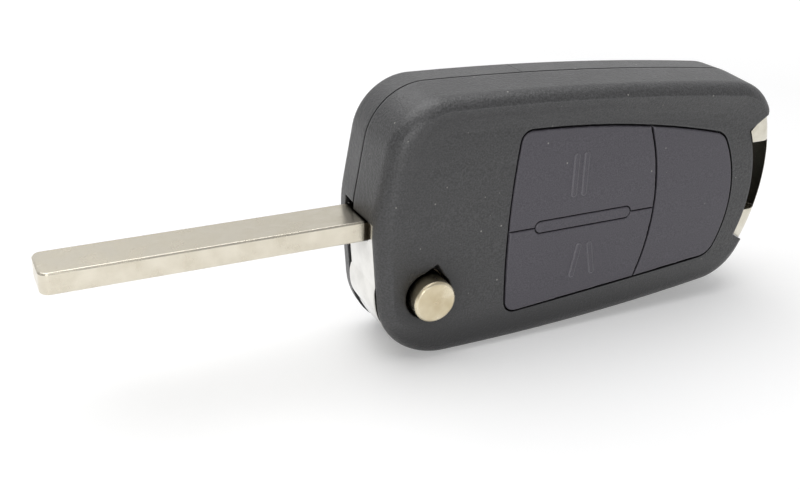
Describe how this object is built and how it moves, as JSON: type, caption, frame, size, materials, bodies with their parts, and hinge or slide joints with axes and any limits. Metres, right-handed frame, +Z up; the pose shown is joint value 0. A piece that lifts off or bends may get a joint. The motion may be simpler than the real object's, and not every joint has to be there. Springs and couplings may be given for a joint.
{
  "type": "key fob shell",
  "caption": "Flip key fob shell standing on its edge: dished button side, lift-off battery cover, swing-out uncut blade and a metal key ring loop.",
  "frame": {"origin": "under the middle of the whole key, blade included, at the level of the flat foot it stands on", "axes": "+X along the fob towards the key ring loop, +Y towards the battery cover, +Z up from the long edge it stands on"},
  "size_m": [0.1116, 0.0162, 0.0395],
  "materials": {
    "shell_plastic": "matte",
    "key_plastic": "matte",
    "mat_rubber": "matte",
    "inner_plastic": "satin",
    "bright_metal": "polished",
    "nickel_blade": "satin",
    "nickel_button": "satin",
    "plain_steel": "satin",
    "spring_steel": "satin"
  },
  "bodies": {
    "case": {"front_shell": "shell_plastic", "back_shell": "shell_plastic", "ring_loop": "bright_metal", "flip_spring": "spring_steel", "spring_cup": "plain_steel", "hub_washer": "inner_plastic", "stop_pin": "plain_steel", "blank_panel": "key_plastic", "key_mat": "mat_rubber", "board_tray": "inner_plastic", "chip_cover": "inner_plastic", "case_screws": "plain_steel"},
    "cover": {"battery_cover": "shell_plastic"},
    "flip_blade": {"flip_hub": "bright_metal", "blade": "nickel_blade", "blade_pin": "spring_steel"},
    "release": {"release_button": "nickel_button", "lock_plunger": "plain_steel"},
    "lock_key": {"lock_button": "key_plastic"},
    "unlock_key": {"unlock_button": "key_plastic"}
  },
  "joints": [
    {"name": "blade_flip", "type": "hinge", "parent": "case", "child": "flip_blade", "pos_m": [-0.00465, 0, 0.0106], "axis": [0, -1, 0], "range_deg": [0, 183.5], "stiffness_Nm_per_rad": 0.004, "springref_deg": -34.38, "deforming": ["flip_spring"]},
    {"name": "release_press", "type": "slide", "parent": "flip_blade", "child": "release", "axis": [0, 1, 0], "range_m": [0, 0.0014], "stiffness_N_per_m": 600, "springref_m": -0.001, "deforming": ["flip_spring"]},
    {"name": "lock_press", "type": "slide", "parent": "case", "child": "lock_key", "axis": [0, 0.9993, -0.0379], "range_m": [0, 0.0004], "stiffness_N_per_m": 800, "deforming": ["key_mat"]},
    {"name": "unlock_press", "type": "slide", "parent": "case", "child": "unlock_key", "axis": [0, 0.9993, -0.0379], "range_m": [0, 0.0004], "stiffness_N_per_m": 800, "deforming": ["key_mat"]},
    {"name": "cover_lift", "type": "slide", "parent": "case", "child": "cover", "axis": [0, 1, 0], "range_m": [0, 0.014]}
  ]
}
